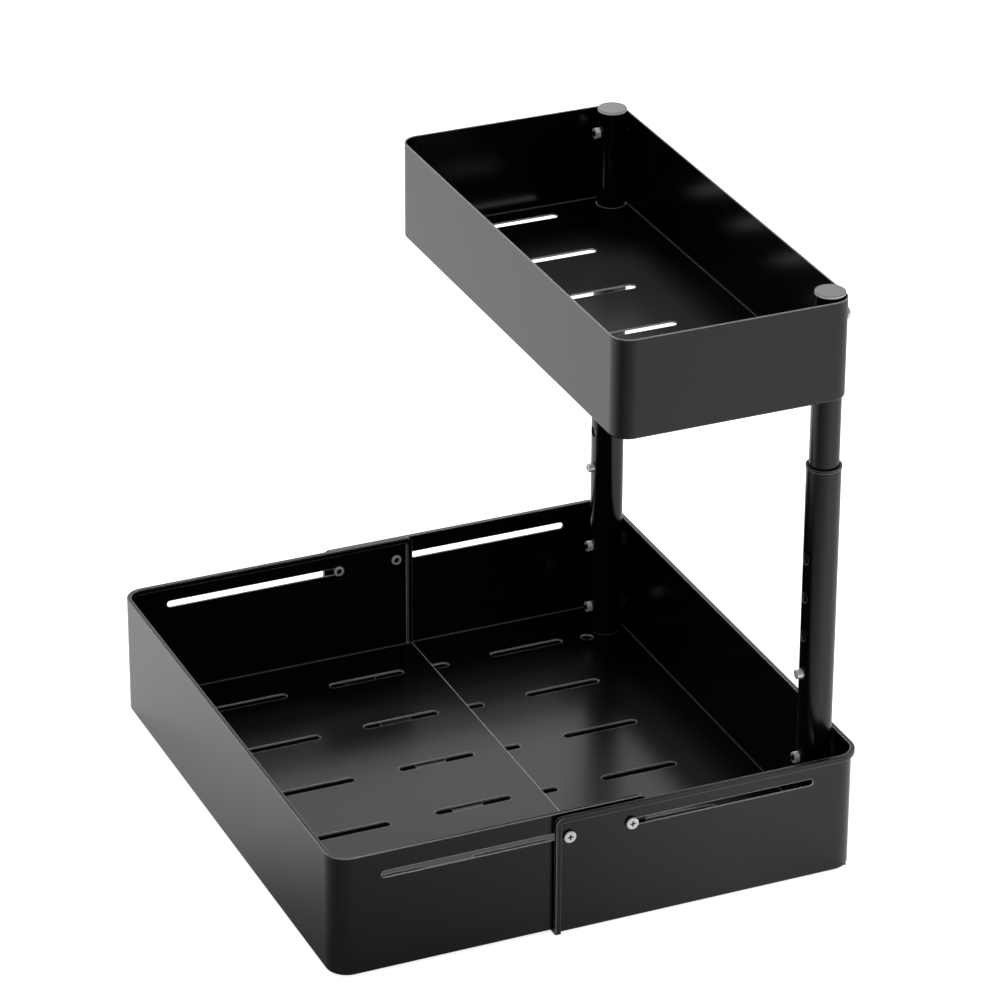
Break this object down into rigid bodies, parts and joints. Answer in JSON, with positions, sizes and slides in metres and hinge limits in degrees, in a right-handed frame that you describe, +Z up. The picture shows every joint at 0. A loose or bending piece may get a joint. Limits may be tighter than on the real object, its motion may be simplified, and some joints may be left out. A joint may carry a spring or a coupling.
{
  "type": "under-sink organizer",
  "caption": "Two-tier steel organizer: a lower tray that slides wider and an upper tray on two telescopic posts at one end.",
  "frame": {"origin": "middle of the footprint, pulled fully wide, on the surface that the organizer stands on", "axes": "+X from the extension tray towards the posts, +Y to the rear, +Z up"},
  "size_m": [0.3574, 0.3896, 0.3897],
  "materials": {
    "black_powder_coat": "satin black powder coat on sheet steel",
    "black_tube": "satin black powder coat on steel tube",
    "screw_steel": "bright zinc-plated steel",
    "grey_cap": "smooth grey moulded plastic",
    "black_plastic": "plain black moulded plastic"
  },
  "bodies": {
    "base": {"base_tray": "black_powder_coat", "front_lower_post": "black_tube", "front_low_post_bolt": "screw_steel", "front_low_post_nut": "screw_steel", "front_low_post_spacer": "black_plastic", "front_high_post_bolt": "screw_steel", "front_high_post_nut": "screw_steel", "front_high_post_spacer": "black_plastic", "front_base_width_screw": "screw_steel", "front_base_width_nut": "screw_steel", "rear_lower_post": "black_tube", "rear_low_post_bolt": "screw_steel", "rear_low_post_nut": "screw_steel", "rear_low_post_spacer": "black_plastic", "rear_high_post_bolt": "screw_steel", "rear_high_post_nut": "screw_steel", "rear_high_post_spacer": "black_plastic", "rear_base_width_screw": "screw_steel", "rear_base_width_nut": "screw_steel"},
    "extension": {"extension_tray": "black_powder_coat", "front_extension_width_screw": "screw_steel", "front_extension_width_nut": "screw_steel", "rear_extension_width_screw": "screw_steel", "rear_extension_width_nut": "screw_steel"},
    "upper_tier": {"upper_tray": "black_powder_coat", "front_upper_post": "black_tube", "front_post_cap": "grey_cap", "front_upper_tray_bolt": "screw_steel", "front_upper_tray_nut": "screw_steel", "rear_upper_post": "black_tube", "rear_post_cap": "grey_cap", "rear_upper_tray_bolt": "screw_steel", "rear_upper_tray_nut": "screw_steel"},
    "front_lock": {"front_height_lock_screw": "screw_steel"},
    "rear_lock": {"rear_height_lock_screw": "screw_steel"}
  },
  "joints": [
    {"name": "width_slide", "type": "slide", "parent": "base", "child": "extension", "axis": [1, 0, 0], "range_m": [0, 0.118]},
    {"name": "height_slide", "type": "slide", "parent": "base", "child": "upper_tier", "axis": [0, 0, 1], "range_m": [0, 0.081]},
    {"name": "front_lock_back_out", "type": "slide", "parent": "base", "child": "front_lock", "axis": [-1, 0, 0], "range_m": [0, 0.012]},
    {"name": "rear_lock_back_out", "type": "slide", "parent": "base", "child": "rear_lock", "axis": [-1, 0, 0], "range_m": [0, 0.012]}
  ]
}
